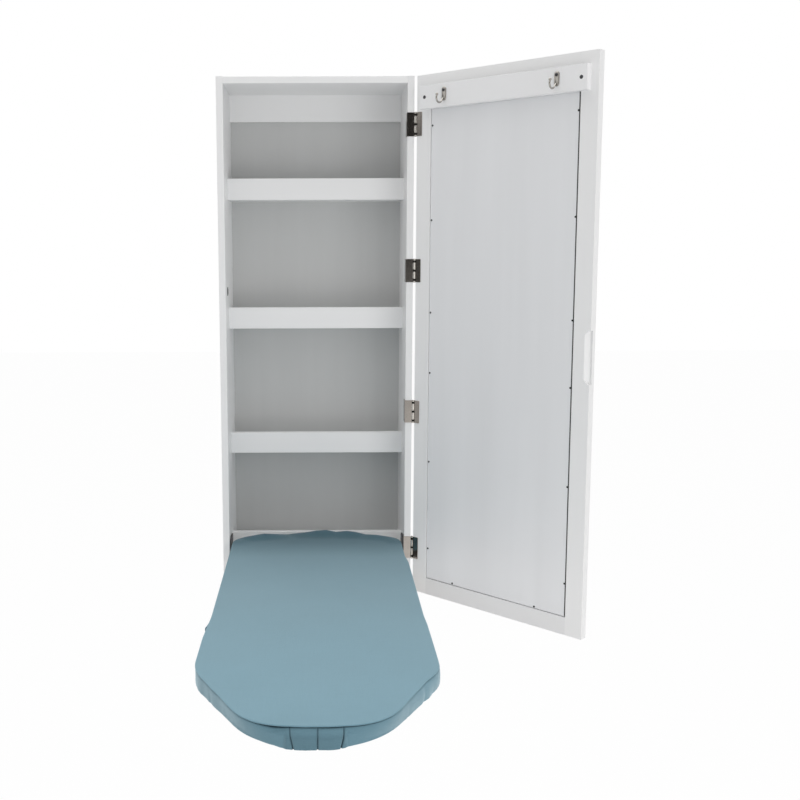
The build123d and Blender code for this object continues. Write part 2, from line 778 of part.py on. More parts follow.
flange_y = front_y - arm_flange_start
slot_half_width = stop_pin_radius + stop_slot_clearance
slot_foot = Vector(pivot_y, pivot_height) + Vector(stop_swing_radius, 0).rotate(Axis.Z, -fold_angle)
for side, word in ((LEFT, "left"), (RIGHT, "right")):
    leg_x = side * (arm_half_spacing - arm_thickness)
    with BuildPart() as board_arm:
        with BuildSketch(Plane.YZ.offset(leg_x)):
            with BuildLine():
                Polyline(
                    (arm_front_y, arm_top), (flange_y, arm_top), (flange_y, arm_top - arm_thickness),
                    (arm_tail_y, arm_top - arm_thickness), (arm_tail_y, arm_foot), (arm_front_y, arm_foot),
                    close=True)
            make_face()
            fillet(vertices().group_by(Axis.X)[-1], arm_end_radius)
            fillet(vertices().sort_by(Axis.X)[:2].sort_by(Axis.Y)[0], arm_end_radius)
            with Locations((pivot_y, pivot_height)):
                Circle(stud_radius + stud_clearance, mode=Mode.SUBTRACT)
            with Locations((stop_y, pivot_height)):
                Circle(stop_pin_radius, mode=Mode.SUBTRACT)
        extrude(amount=side * arm_thickness)
        with BuildSketch(Plane.XY.offset(arm_top - arm_thickness)):
            with Locations((side * (arm_half_spacing - arm_flange_width / 2), (arm_front_y + flange_y) / 2)):
                Rectangle(arm_flange_width, flange_y - arm_front_y)
        extrude(amount=arm_thickness)
        with Locations(*arm_screw_places):
            Cylinder(arm_screw_radius, arm_screw_length, align=STANDING, mode=Mode.SUBTRACT)
    save(board_arm, f"board_arm_{word}")

    with BuildPart() as pivot_bracket:
        with BuildSketch(Plane.YZ.offset(side * inner_half)):
            with Locations(((bracket_front + bracket_rear) / 2, (bracket_bottom + bracket_top) / 2)):
                RectangleRounded(bracket_depth, bracket_top - bracket_bottom, bracket_corner_radius)
            with Locations((pivot_y, pivot_height)):
                Circle(stud_radius, mode=Mode.SUBTRACT)
            with BuildLine():
                for slot_side in (-1, 1):
                    CenterArc((pivot_y, pivot_height), stop_swing_radius + slot_side * slot_half_width,
                              -fold_angle, fold_angle)
                CenterArc((stop_y, pivot_height), slot_half_width, 0, 180)
                CenterArc((slot_foot.X, slot_foot.Y), slot_half_width, 180 - fold_angle, 180)
            make_face(mode=Mode.SUBTRACT)
        extrude(amount=-side * bracket_thickness)
        with BuildSketch(Plane.YZ.offset(side * inner_half)):
            with Locations((front_y, hinge_centres[0] - hinge_height / 2 - relief_margin)):
                Rectangle(hinge_flange_depth + relief_margin, bracket_top,
                          align=(Align.MIN, Align.MIN))
        extrude(amount=-side * bracket_relief, mode=Mode.SUBTRACT)
        flat_head_holes(bracket_screw_places(side), bracket_screw)
    save(pivot_bracket, f"pivot_bracket_{word}")

with BuildPart() as pivot_studs:
    for side in (LEFT, RIGHT):
        root = inner_half - bracket_relief
        tip = arm_half_spacing - arm_thickness - nut_gap - nut_thickness - stud_end
        bar(side, (tip, root), pivot_y, pivot_height, stud_radius)
save(pivot_studs, "pivot_studs")

with BuildPart() as pivot_sleeves:
    for side in (LEFT, RIGHT):
        with BuildSketch(Plane.YZ.offset(side * (arm_half_spacing + sleeve_end_gap))):
            with Locations((pivot_y, pivot_height)):
                Circle(sleeve_radius)
                Circle(stud_radius + sleeve_bore_clearance, mode=Mode.SUBTRACT)
        extrude(amount=side * sleeve_length)
save(pivot_sleeves, "pivot_sleeves")

with BuildPart() as pivot_nuts:
    for side in (LEFT, RIGHT):
        with BuildSketch(Plane.YZ.offset(side * (arm_half_spacing - arm_thickness - nut_gap))):
            with Locations((pivot_y, pivot_height)):
                RegularPolygon(nut_flats / 2, 6, major_radius=False)
                Circle(stud_radius, mode=Mode.SUBTRACT)
        extrude(amount=-side * nut_thickness)
save(pivot_nuts, "pivot_nuts")

with BuildPart() as stop_pins:
    for side in (LEFT, RIGHT):
        pin_range = (arm_half_spacing - arm_thickness, inner_half - stop_pin_end_gap)
        collar_range = (arm_half_spacing, arm_half_spacing + pin_collar_thickness)
        bar(side, pin_range, stop_y, pivot_height, stop_pin_radius)
        bar(side, collar_range, stop_y, pivot_height, pin_collar_radius)
save(stop_pins, "stop_pins")

with BuildPart() as arm_screws:
    with Locations(*arm_screw_places):
        Cylinder(arm_screw_head_radius, arm_screw_head_height, align=SUNK)
        Cylinder(arm_screw_radius, arm_screw_length, align=STANDING)
save(arm_screws, "arm_screws")
save(flat_head_screws(bracket_screw_places(LEFT) + bracket_screw_places(RIGHT), bracket_screw),
     "bracket_screws")
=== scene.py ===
import json
import math

import bmesh
import bpy
import numpy as np
from mathutils import Matrix, Vector, noise


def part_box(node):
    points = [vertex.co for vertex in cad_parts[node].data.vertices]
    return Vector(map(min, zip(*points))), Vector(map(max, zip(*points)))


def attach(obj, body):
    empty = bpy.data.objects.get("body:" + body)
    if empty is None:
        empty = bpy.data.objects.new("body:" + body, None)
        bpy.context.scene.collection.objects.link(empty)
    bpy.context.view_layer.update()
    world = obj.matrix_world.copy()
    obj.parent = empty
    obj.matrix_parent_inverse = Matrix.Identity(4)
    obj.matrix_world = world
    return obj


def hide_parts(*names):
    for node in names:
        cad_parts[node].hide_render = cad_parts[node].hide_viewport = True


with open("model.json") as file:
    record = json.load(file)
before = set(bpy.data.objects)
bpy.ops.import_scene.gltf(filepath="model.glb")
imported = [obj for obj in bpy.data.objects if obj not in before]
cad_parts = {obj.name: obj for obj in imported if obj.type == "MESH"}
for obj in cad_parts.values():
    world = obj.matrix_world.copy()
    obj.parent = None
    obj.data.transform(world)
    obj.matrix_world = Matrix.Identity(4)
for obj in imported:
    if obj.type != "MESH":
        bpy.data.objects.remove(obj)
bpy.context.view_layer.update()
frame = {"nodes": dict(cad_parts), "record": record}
NODES = frame["nodes"]

# ---------------------------------------------------------------- the photo's camera: metres, radians, pixels
PICTURE_SIZE = 800.0
SENSOR_WIDTH = 36.0
FOCAL_PIXELS = 995.73
OPTICAL_CENTRE = (321.27, 377.73)
CAMERA_PLACE = Vector((0.00496, -2.1824, 0.7182))
CAMERA_YAW = 0.0026
CAMERA_PITCH = 0.1330
CAMERA_ROLL = -0.0031

# ---------------------------------------------------------------- small node-tree helpers


class Shader:
    """A material's node tree, with short ways to add and link nodes."""

    def __init__(self, name):
        self.material = bpy.data.materials.new(name)
        self.material.use_nodes = True
        self.tree = self.material.node_tree
        self.tree.nodes.clear()
        self.output = self.add("ShaderNodeOutputMaterial")
        self.surface = self.add("ShaderNodeBsdfPrincipled")
        self.link(self.surface.outputs["BSDF"], self.output.inputs["Surface"])
        self.place = self.add("ShaderNodeTexCoord").outputs["Object"]

    def add(self, kind, **settings):
        """A new node of one kind, with its own settings."""
        node = self.tree.nodes.new(kind)
        for key, value in settings.items():
            setattr(node, key, value)
        return node

    def link(self, source, target):
        self.tree.links.new(source, target)

    def set(self, **values):
        """Plain values for the surface's inputs, named with _ for each space."""
        for key, value in values.items():
            self.surface.inputs[key.replace("_", " ")].default_value = value

    def stretched(self, scale):
        """The object's coordinates, stretched along each axis."""
        mapping = self.add("ShaderNodeMapping")
        mapping.inputs["Scale"].default_value = scale
        self.link(self.place, mapping.inputs["Vector"])
        return mapping.outputs["Vector"]

    def noise(self, scale, detail=3.0, roughness=0.5, coordinates=None):
        node = self.add("ShaderNodeTexNoise")
        node.inputs["Scale"].default_value = scale
        node.inputs["Detail"].default_value = detail
        node.inputs["Roughness"].default_value = roughness
        self.link(coordinates or self.place, node.inputs["Vector"])
        return node.outputs["Fac"]

    def wave(self, scale, axis, distortion):
        node = self.add("ShaderNodeTexWave", wave_type="BANDS", bands_direction=axis)
        node.inputs["Scale"].default_value = scale
        node.inputs["Distortion"].default_value = distortion
        self.link(self.place, node.inputs["Vector"])
        return node.outputs["Fac"]

    def ramp(self, factor, stops):
        """A colour between stops, each of them a position and a colour."""
        node = self.add("ShaderNodeValToRGB")
        while len(node.color_ramp.elements) < len(stops):
            node.color_ramp.elements.new(0.5)
        for element, (position, color) in zip(node.color_ramp.elements, stops):
            element.position = position
            element.color = (*color, 1.0)
        self.link(factor, node.inputs["Fac"])
        return node.outputs["Color"]

    def shade(self):
        """The painted shade stored on the mesh as "shade": 0 leaves its colour, 1 makes it black, below 0
        makes it lighter.
        """
        return self.add("ShaderNodeAttribute", attribute_name="shade").outputs["Fac"]

    def scaled(self, color, factor):
        """A colour made lighter or darker by a factor from another node."""
        node = self.add("ShaderNodeVectorMath", operation="SCALE")
        self.link(color, node.inputs["Vector"])
        self.link(factor, node.inputs["Scale"])
        return node.outputs["Vector"]

    def facing(self, direction):
        """How squarely a face is turned along a direction of its own object, from 0 to 1."""
        node = self.add("ShaderNodeVectorMath", operation="DOT_PRODUCT")
        node.inputs[1].default_value = direction
        self.link(self.add("ShaderNodeTexCoord").outputs["Normal"], node.inputs[0])
        return self.math("MAXIMUM", node.outputs["Value"], 0.0)

    def along(self, direction):
        """How far a point lies along a unit vector, in metres."""
        node = self.add("ShaderNodeVectorMath", operation="DOT_PRODUCT")
        node.inputs[1].default_value = direction
        self.link(self.place, node.inputs[0])
        return node.outputs["Value"]

    def range(self, factor, low, high):
        """A factor from 0 to 1, spread from low to high."""
        node = self.add("ShaderNodeMapRange")
        node.inputs["To Min"].default_value = low
        node.inputs["To Max"].default_value = high
        self.link(factor, node.inputs["Value"])
        return node.outputs["Result"]

    def math(self, operation, first, second):
        """One sum on two values, each of them a number or another node's output."""
        node = self.add("ShaderNodeMath", operation=operation)
        for socket, value in zip(node.inputs, (first, second)):
            if isinstance(value, (int, float)):
                socket.default_value = value
            else:
                self.link(value, socket)
        return node.outputs["Value"]

    def bump(self, height, strength, distance):
        node = self.add("ShaderNodeBump")
        node.inputs["Strength"].default_value = strength
        node.inputs["Distance"].default_value = distance
        self.link(height, node.inputs["Height"])
        return node.outputs["Normal"]

    def finish(self, color, roughness=None, normal=None):
        """The material, with its colour and, where given, its roughness and bump joined to the surface."""
        for name, value in (("Base Color", color), ("Roughness", roughness), ("Normal", normal)):
            if value:
                self.link(value, self.surface.inputs[name])
        return self.material


def mixed(color, factor):
    """A colour made lighter or darker."""
    return tuple(channel * factor for channel in color)


def added(name, data):
    """A new object in the scene, made of the data."""
    piece = bpy.data.objects.new(name, data)
    bpy.context.scene.collection.objects.link(piece)
    return piece


def smoothed(mesh):
    """The mesh, with every face shaded smooth."""
    for face in mesh.polygons:
        face.use_smooth = True
    return mesh


# ---------------------------------------------------------------- materials


def lacquer(name, color, roughness=0.42, painted_top_shade=0.0, painted_end_highlight=0.0):
    """Sprayed satin lacquer on fibreboard, with orange peel and slow changes of tone.

    dusty darkens the faces turned up, as painted shade, and painted_end_highlight lightens the faces turned
    along the door, away from its hinges, as a painted highlight.
    """
    shader = Shader(name)
    # painted shade: faces turned up are pulled towards the darkest stop
    mottled = shader.math("SUBTRACT", shader.noise(5.0, 3.0),
                          shader.math("MULTIPLY", shader.facing((0.0, 0.0, 1.0)), painted_top_shade))
    stops = ((0.0, mixed(color, 0.6)), (0.2, mixed(color, 0.985)), (0.7, mixed(color, 1.0)))
    tone = shader.ramp(mottled, stops)
    # painted highlight: faces turned along the door, away from its hinges, are made lighter
    lift = shader.math("ADD", 1.0, shader.math("MULTIPLY", shader.facing(DOOR_ALONG), painted_end_highlight))
    gloss = shader.range(shader.noise(60.0), roughness - 0.04, roughness + 0.05)
    peel = shader.bump(shader.noise(900.0, 2.0), 0.05, 0.0002)
    shader.set(Specular_IOR_Level=0.4)
    return shader.finish(shader.scaled(tone, lift), gloss, peel)


def foil_board(name, color, roughness, painted_gap_shade=None):
    """Thin board faced with printed foil: upright streaks and a faint pebble.

    painted_gap_shade is a direction and how far along it a near-black band starts: painted shade standing for
    the shadowed gap beside the board.
    """
    shader = Shader(name)
    streaks = shader.noise(1.0, 4.0, 0.55, shader.stretched((14.0, 14.0, 0.8)))
    if painted_gap_shade:
        direction, start = painted_gap_shade
        # painted shade: the band at the backing's free side goes to the near-black stop
        in_painted_gap = shader.math("GREATER_THAN", shader.along(direction), start)
        streaks = shader.math("SUBTRACT", streaks, in_painted_gap)
    stops = ((0.0, mixed(color, 0.06)), (0.12, mixed(color, 0.95)), (0.75, mixed(color, 1.03)))
    tone = shader.ramp(streaks, stops)
    gloss = shader.range(shader.noise(40.0), roughness - 0.05, roughness + 0.05)
    pebble = shader.bump(shader.noise(700.0, 2.0), 0.08, 0.0002)
    return shader.finish(tone, gloss, pebble)


def bare_board(name, color):
    """Bare fibreboard: matt, with short fibres."""
    shader = Shader(name)
    fibres = shader.noise(350.0, 5.0, 0.6)
    tone = shader.ramp(fibres, ((0.3, mixed(color, 0.85)), (0.7, mixed(color, 1.1))))
    shader.set(Roughness=0.85)
    return shader.finish(tone, None, shader.bump(fibres, 0.2, 0.0003))


def metal(name, color, roughness, brushed=(1.0, 1.0, 1.0)):
    """Plated or polished metal with fine scratches, drawn out along an axis by brushed."""
    shader = Shader(name)
    grain = shader.noise(400.0, 4.0, 0.6, shader.stretched(brushed))
    tone = shader.ramp(shader.noise(90.0), ((0.3, mixed(color, 0.86)), (0.7, mixed(color, 1.08))))
    gloss = shader.range(grain, max(roughness - 0.08, 0.02), roughness + 0.1)
    shader.set(Metallic=1.0)
    return shader.finish(tone, gloss, shader.bump(grain, 0.06, 0.0001))


def hinge_metal(name, node, notch_shade_reach):
    """Nickel-plated hinge leaf, with a painted highlight on its barrel and painted shade, near black, in the
    notches where the knuckles meet.
    """
    low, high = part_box(node)
    shader = Shader(name)
    grain = shader.noise(400.0, 4.0, 0.6, shader.stretched(HINGE_GRAIN))
    place = shader.add("ShaderNodeSeparateXYZ")
    shader.link(shader.place, place.inputs["Vector"])
    level = shader.add("ShaderNodeCombineXYZ")
    shader.link(place.outputs["X"], level.inputs["X"])
    shader.link(place.outputs["Y"], level.inputs["Y"])
    from_pin = shader.add("ShaderNodeVectorMath", operation="DISTANCE")
    from_pin.inputs[1].default_value = (PIN_PLACE.x, PIN_PLACE.y, 0.0)
    shader.link(level.outputs["Vector"], from_pin.inputs[0])
    turned = shader.math("MULTIPLY", shader.math("SUBTRACT", place.outputs["Z"], (low.z + high.z) / 2),
                         KNUCKLES * math.pi / (high.z - low.z))
    # painted shade: bands near the pin, where the knuckles' notches lie in shadow, go to the near-black stop
    in_notch = shader.math("GREATER_THAN", shader.math("COSINE", turned, 0.0), 0.72)
    near_pin = shader.math("LESS_THAN", from_pin.outputs["Value"], notch_shade_reach)
    notch_shade = shader.math("MULTIPLY", in_notch, near_pin)
    # painted highlight: the barrel round the pin is pulled towards the lightest stop
    on_barrel = shader.math("LESS_THAN", from_pin.outputs["Value"], BARREL_RADIUS)
    mottled = shader.math("MULTIPLY", shader.noise(90.0), 0.3)
    with_barrel_highlight = shader.math("ADD", mottled, shader.math("MULTIPLY", on_barrel, 0.5))
    stops = ((0.0, mixed(HINGE_COLOR, 0.06)), (0.25, mixed(HINGE_COLOR, 0.9)),
             (0.5, mixed(HINGE_COLOR, 1.08)), (0.75, BARREL_HIGHLIGHT_COLOR))
    tone = shader.ramp(shader.math("SUBTRACT", shader.math("ADD", with_barrel_highlight, 0.2), notch_shade), stops)
    gloss = shader.range(grain, 0.08, 0.26)
    shader.set(Metallic=1.0)
    return shader.finish(tone, gloss, shader.bump(grain, 0.06, 0.0001))


def powder_coat(name, color):
    """Powder-coated steel: a fine even texture."""
    shader = Shader(name)
    texture = shader.noise(1500.0, 2.0)
    tone = shader.ramp(texture, ((0.3, mixed(color, 0.9)), (0.7, mixed(color, 1.1))))
    shader.set(Roughness=0.5)
    return shader.finish(tone, None, shader.bump(texture, 0.25, 0.0002))


def silvered_glass(name):
    """A mirror: clear glass over silver."""
    shader = Shader(name)
    smears = shader.range(shader.noise(7.0, 4.0), 0.005, 0.03)
    tone = shader.ramp(shader.noise(3.0), ((0.3, (0.88, 0.90, 0.90)), (0.7, (0.90, 0.92, 0.92))))
    shader.set(Metallic=1.0, Coat_Weight=0.5, Coat_Roughness=0.02)
    return shader.finish(tone, smears)


def woven_cotton(name, color, sheen):
    """Plain-woven cotton: warp and weft, slubs and a soft sheen, with the mesh's painted shade making it
    darker or lighter and weakening the sheen where it darkens.
    """
    shader = Shader(name)
    thread = 0.00055
    threads = math.pi / (20.0 * thread)  # so that the wave texture repeats after two threads
    warp = shader.wave(threads, "X", 0.6)
    weft = shader.wave(threads, "Y", 0.6)
    weave = shader.math("MULTIPLY", warp, weft)
    slubs = shader.noise(1.0, 3.0, 0.6, shader.stretched((30.0, 900.0, 900.0)))
    cross_slubs = shader.noise(1.0, 3.0, 0.6, shader.stretched((900.0, 30.0, 900.0)))
    yarn = shader.math("ADD", slubs, cross_slubs)
    wear = shader.noise(9.0, 4.0, 0.55)
    mottled = shader.math("ADD", shader.math("MULTIPLY", yarn, 0.35), shader.math("MULTIPLY", wear, 0.3))
    tone = shader.ramp(mottled, ((0.3, mixed(color, 0.9)), (0.7, mixed(color, 1.08))))
    tone = shader.scaled(tone, shader.math("SUBTRACT", 1.0, shader.shade()))
    darkened = shader.math("MAXIMUM", shader.shade(), 0.0)
    bloom = shader.math("SUBTRACT", 1.0, shader.math("MULTIPLY", darkened, 1.6))
    shader.link(shader.math("MAXIMUM", bloom, 0.0), shader.surface.inputs["Sheen Weight"])
    relief = shader.math("ADD", weave, shader.math("MULTIPLY", yarn, 0.5))
    shader.set(Roughness=0.9, Sheen_Roughness=0.5, Specular_IOR_Level=0.12)
    shader.set(Sheen_Tint=(*sheen, 1.0))
    return shader.finish(tone, None, shader.bump(relief, 0.35, 0.0002))


def door_directions():
    """Unit vectors along the open door, away from its hinges, and out of its inner face."""
    mesh = NODES["mirror_backing"].data
    widest = max((face for face in mesh.polygons if face.normal.y < 0), key=lambda face: face.area)
    out = Vector((widest.normal.x, widest.normal.y, 0.0)).normalized()
    return Vector((-out.y, out.x, 0.0)), out


WHITE = (0.90, 0.90, 0.90)
COVER = (0.142, 0.264, 0.326)
COVER_SHEEN = (0.7, 0.86, 0.92)
HINGE_COLOR = (0.36, 0.33, 0.30)
BARREL_HIGHLIGHT_COLOR = (0.58, 0.56, 0.52)
HINGE_GRAIN = (1.0, 1.0, 12.0)
BARREL_RADIUS = 0.0026
KNUCKLES = 5
PAINTED_GAP_WIDTH = 0.0018  # width of the painted shade band, standing for the shadowed gap, at the free side of the mirror's backing
DOOR_ALONG, DOOR_OUT = door_directions()
PIN_PLACE = (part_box("hinge_pins")[0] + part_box("hinge_pins")[1]) / 2
BACKING_END = max(corner.co.dot(DOOR_ALONG) for corner in NODES["mirror_backing"].data.vertices)

FINISHES = {
    "white_paint": lacquer("white_lacquer", WHITE),
    "back_board": foil_board("grey_hardboard", (0.605, 0.612, 0.608), 0.6),
    "backing_board": foil_board("pale_backing", (0.845, 0.852, 0.866), 0.5,
                                (DOOR_ALONG, BACKING_END - PAINTED_GAP_WIDTH)),
    # lighter and darker copies of the white lacquer: painted light inside the cabinet and on the door,
    # painted shade on the door's bottom rail
    "white_paint_painted_lighter": lacquer("white_lacquer_painted_lighter", (0.95, 0.95, 0.95)),
    "door_white_painted_light": lacquer("door_lacquer_painted_light", (0.92, 0.92, 0.92), painted_end_highlight=0.05),
    "rail_white_painted_light": lacquer("rail_lacquer_painted_light", (0.92, 0.92, 0.925), painted_top_shade=0.9, painted_end_highlight=0.08),
    "low_rail_white_painted_darker": lacquer("low_rail_lacquer_painted_darker", (0.86, 0.86, 0.865)),
    "mirror": silvered_glass("mirror_silver"),
    "dark_brads": metal("black_brads", (0.03, 0.03, 0.03), 0.45),
    "cover_fabric": woven_cotton("blue_cotton", COVER, COVER_SHEEN),
    "strap_fabric": woven_cotton("strap_cotton", mixed(COVER, 1.05), COVER_SHEEN),
    "pad_felt": woven_cotton("pad_felt", (0.7, 0.69, 0.65), (1.0, 1.0, 1.0)),
    "deck_board": bare_board("bare_fibreboard", (0.42, 0.32, 0.22)),
    "hinge_steel": metal("hinge_nickel", HINGE_COLOR, 0.16, HINGE_GRAIN),
    "nickel": metal("bright_nickel", (0.40, 0.38, 0.35), 0.14),
    "dark_metal": metal("blackened_steel", (0.08, 0.08, 0.085), 0.4),
    "arm_steel": powder_coat("dark_powder_coat", (0.07, 0.07, 0.075)),
    "zinc_steel": metal("zinc_steel", (0.55, 0.56, 0.57), 0.35),
}
# Nodes whose finish differs from that of the others in their material slot; the white lacquer's lighter and
# darker copies among them are painted light and painted shade
OWN_FINISHES = {
    "coat_hook_screws": "dark_metal", "hinge_door_screws": "hinge_steel",
    "hinge_cabinet_screws": "hinge_steel", "side_panel_left": "white_paint_painted_lighter",
    "hanging_rail": "white_paint_painted_lighter", "top_panel": "white_paint_painted_lighter",
    "door_stile_hinge": "door_white_painted_light", "door_stile_free": "door_white_painted_light",
    "door_rail_top": "door_white_painted_light", "hook_rail": "rail_white_painted_light", "door_rail_bottom": "low_rail_white_painted_darker",
}
# how far from the pin the painted notch shade reaches on each kind of leaf
NOTCH_SHADE_REACH = {"hinge_cabinet_leaf": BARREL_RADIUS, "hinge_door_leaf": 0.0042}
for place in range(1, 5):
    OWN_FINISHES[f"shelf_lip_{place}"] = "white_paint_painted_lighter"
    for kind, notch_shade_reach in NOTCH_SHADE_REACH.items():
        leaf = f"{kind}_{place}"
        FINISHES[leaf] = hinge_metal(leaf.replace("leaf", "nickel"), leaf, notch_shade_reach)
        OWN_FINISHES[leaf] = leaf
for part in frame["record"]["subparts"]:
    node = NODES[part["node"]]
    node.data.materials.clear()
    node.data.materials.append(FINISHES[OWN_FINISHES.get(part["node"], part["material_slot"])])


# ---------------------------------------------------------------- padded cover of the ironing board

HALF_SAMPLES = 380
FINE_REACH = 0.048  # metres each way from the middle of the nose, where the points are closest
FINE_STEP = 0.0005
NOSE_LENGTH = 0.2
SIDE_LIMIT = 0.1813  # the folded board has 0.1815 m each way between the cabinet's sides
BULGE_LIMIT = 0.1812
COVER_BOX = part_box("board_cover")
TOP_LEVEL = COVER_BOX[1].z
HEM_LEVEL = COVER_BOX[0].z
NOSE_Y = COVER_BOX[0].y
BACK_Y = COVER_BOX[1].y


def upright_outline(name, level):
    """Longest outline of a node's upright walls at one height: its points in plan, in order."""
    mesh = NODES[name].data
    beside = {}
    for face in mesh.polygons:
        if abs(face.normal.z) > 0.2:
            continue
        for pair in face.edge_keys:
            ends = [mesh.vertices[index].co for index in pair]
            if max(abs(end.z - level) for end in ends) < 0.0001:
                first, second = ((round(end.x, 5), round(end.y, 5)) for end in ends)
                beside.setdefault(first, []).append(second)
                beside.setdefault(second, []).append(first)
    longest, longest_length = [], 0.0
    seen = set()
    for start in beside:
        loop = []
        point = start
        while point is not None and point not in seen:
            seen.add(point)
            loop.append(point)
            point = next((other for other in beside[point] if other not in seen), None)
        length = sum(math.dist(a, b) for a, b in zip(loop, loop[1:]))
        if length > longest_length:
            longest, longest_length = loop, length
    return np.array(longest)


def even_outline(points):
    """The outline made even and smooth, from the middle of the nose round by the right side."""
    right = points[points[:, 0] > 0]
    order = np.argsort(np.arctan2(right[:, 0], (NOSE_Y + BACK_Y) / 2 - right[:, 1]))
    right = right[order]
    right = np.vstack(((0.0, right[0, 1]), right, (0.0, BACK_Y)))
    run = np.concatenate(((0.0,), np.cumsum(np.hypot(*np.diff(right, axis=0).T))))
    at = np.linspace(0.0, run[-1], HALF_SAMPLES + 1)
    half = np.column_stack((np.interp(at, run, right[:, 0]), np.interp(at, run, right[:, 1])))
    left = half[-2:0:-1] * (-1.0, 1.0)
    ring = np.vstack((half, left))
    reach = np.arange(-8, 9)
    weights = np.exp(-0.5 * (reach / 1.6) ** 2)
    weights /= weights.sum()
    return sum(weight * np.roll(ring, -shift, axis=0) for shift, weight in zip(reach, weights))


def close_at_nose(ring):
    """The outline again, with its points much closer together round the middle of the nose."""
    closed = np.vstack((ring, ring[:1]))
    run = np.concatenate(((0.0,), np.cumsum(np.hypot(*np.diff(closed, axis=0).T))))
    half = run[-1] / 2
    fine = np.arange(0.0, FINE_REACH, FINE_STEP)
    right = np.concatenate((fine, np.linspace(FINE_REACH, half, HALF_SAMPLES)))
    at = np.concatenate((right, (run[-1] - right)[-2:0:-1]))
    return np.column_stack((np.interp(at, run, closed[:, 0]), np.interp(at, run, closed[:, 1])))


def bell(values, middle, width):
    """1 in the middle, falling smoothly towards 0 on both sides."""
    return np.exp(-(((values - middle) / width) ** 2))


def waves(along, scale, seed):
    """Smooth irregular waves from -1 to 1 along a line."""
    return np.array([2.0 * noise.noise(Vector((value * scale, seed, 0.37))) for value in along])


PLAN = close_at_nose(even_outline(upright_outline("board_cover", HEM_LEVEL)))
COUNT = len(PLAN)
TANGENT = np.roll(PLAN, -1, axis=0) - np.roll(PLAN, 1, axis=0)
TANGENT /= np.linalg.norm(TANGENT, axis=1)[:, None]
OUTWARD = np.column_stack((TANGENT[:, 1], -TANGENT[:, 0]))
OUTWARD *= np.sign((OUTWARD * (PLAN - (0.0, (NOSE_Y + BACK_Y) / 2))).sum(axis=1).mean())
STEP = np.linalg.norm(np.roll(PLAN, -1, axis=0) - PLAN, axis=1)
ALONG = np.concatenate(((0.0,), np.cumsum(STEP)[:-1]))
ACROSS = PLAN[:, 0]
IN_FRONT = 1.0 / (1.0 + np.exp((PLAN[:, 1] - (NOSE_Y + NOSE_LENGTH)) / 0.012))
AT_BACK = 1.0 / (1.0 + np.exp((BACK_Y - 0.06 - PLAN[:, 1]) / 0.006))
SPINE = np.column_stack((np.zeros(COUNT), np.clip(PLAN[:, 1], NOSE_Y + 0.17, BACK_Y - 0.16)))

# How the cloth leaves the even outline: metres outward, or upward
SEAM_OUT = 0.001 * np.interp(
    ACROSS,
    (-0.180, -0.160, -0.144, -0.132, -0.118, -0.097, -0.080, -0.060, -0.036,
     0.036, 0.060, 0.080, 0.097, 0.112, 0.125, 0.140, 0.155, 0.170, 0.180),
    (0.6, 1.0, 2.0, 2.0, 3.4, 3.8, 2.6, -1.0, -4.8,
     -4.8, -0.8, 2.6, 3.8, 3.6, 1.6, 0.2, -1.0, -0.4, 0.4))
ON_THE_TURN = bell(PLAN[:, 1], NOSE_Y + NOSE_LENGTH, 0.06) * (1 - IN_FRONT) * (ACROSS > 0)
SEAM_OUT = SEAM_OUT * IN_FRONT + 0.0010 * ON_THE_TURN
SEAM_DEPTH = (0.0020 + 0.0046 * bell(ACROSS, -0.058, 0.026) + 0.0022 * bell(ACROSS, 0.0, 0.06)) * IN_FRONT
SEAM_DEPTH += 0.0005 * (1 - IN_FRONT)
SEAM_GAP = 0.0010 + (0.0024 * bell(ACROSS, -0.056, 0.020) + 0.0008 * bell(ACROSS, 0.02, 0.05)) * IN_FRONT
ON_RIGHT = (ACROSS > 0) * (1 - AT_BACK)
ON_LEFT = (ACROSS < 0) * (1 - AT_BACK)
PLATEAU = np.clip((0.0425 - np.abs(ACROSS + 0.0010)) / 0.005, 0.0, 1.0) * IN_FRONT
RIGHT_CHEEK = bell(ACROSS, 0.154, 0.020) * IN_FRONT
LEFT_CHEEK = bell(ACROSS, -0.152, 0.020) * IN_FRONT
SKIRT_FULLNESS = 0.0006 + 0.0016 * RIGHT_CHEEK + 0.0004 * ON_RIGHT - 0.0006 * ON_LEFT
RIGHT_BULGE = 0.0044 * ON_RIGHT * np.clip((BACK_Y - 0.155 - PLAN[:, 1]) / 0.04, 0.0, 1.0)
BULGE_AT_CHEEK = 1.0 - 0.72 * IN_FRONT * np.clip((0.178 - ACROSS) / 0.02, 0, 1)
RIGHT_BULGE *= np.clip((ACROSS - 0.105) / 0.03, 0.0, 1.0) * BULGE_AT_CHEEK
RIGHT_BULGE = np.minimum(RIGHT_BULGE, np.maximum(BULGE_LIMIT - ACROSS, 0.0))
HEM_TUCKS = bell(ACROSS, -0.104, 0.022) + bell(ACROSS, 0.078, 0.026)
HEM_OUT = -0.0004 + 0.0024 * PLATEAU - 0.0010 * HEM_TUCKS * IN_FRONT
HEM_DROP = 0.001 * np.interp(
    ACROSS,
    (-0.170, -0.140, -0.122, -0.112, -0.095, -0.075, -0.055, -0.047, -0.039, 0.028, 0.038,
     0.052, 0.064, 0.076, 0.090, 0.100, 0.110, 0.122, 0.136, 0.150, 0.164),
    (-0.4, -0.5, -0.5, -0.5, -0.5, -0.5, 0.6, 2.0, 2.2, 1.4, 0.6,
     -0.2, -0.3, -0.5, -0.5, -0.4, 0.0, 0.3, 0.3, 0.0, 0.0)) * IN_FRONT
PUCKER_DEPTH = 0.0003 + 0.0020 * RIGHT_CHEEK + 0.0008 * LEFT_CHEEK + 0.0003 * AT_BACK
PUCKERS = np.abs(waves(ALONG, 40.0, 3.1)) * PUCKER_DEPTH
GATHERS = np.abs(waves(ALONG, 110.0, 8.2)) * 0.0004
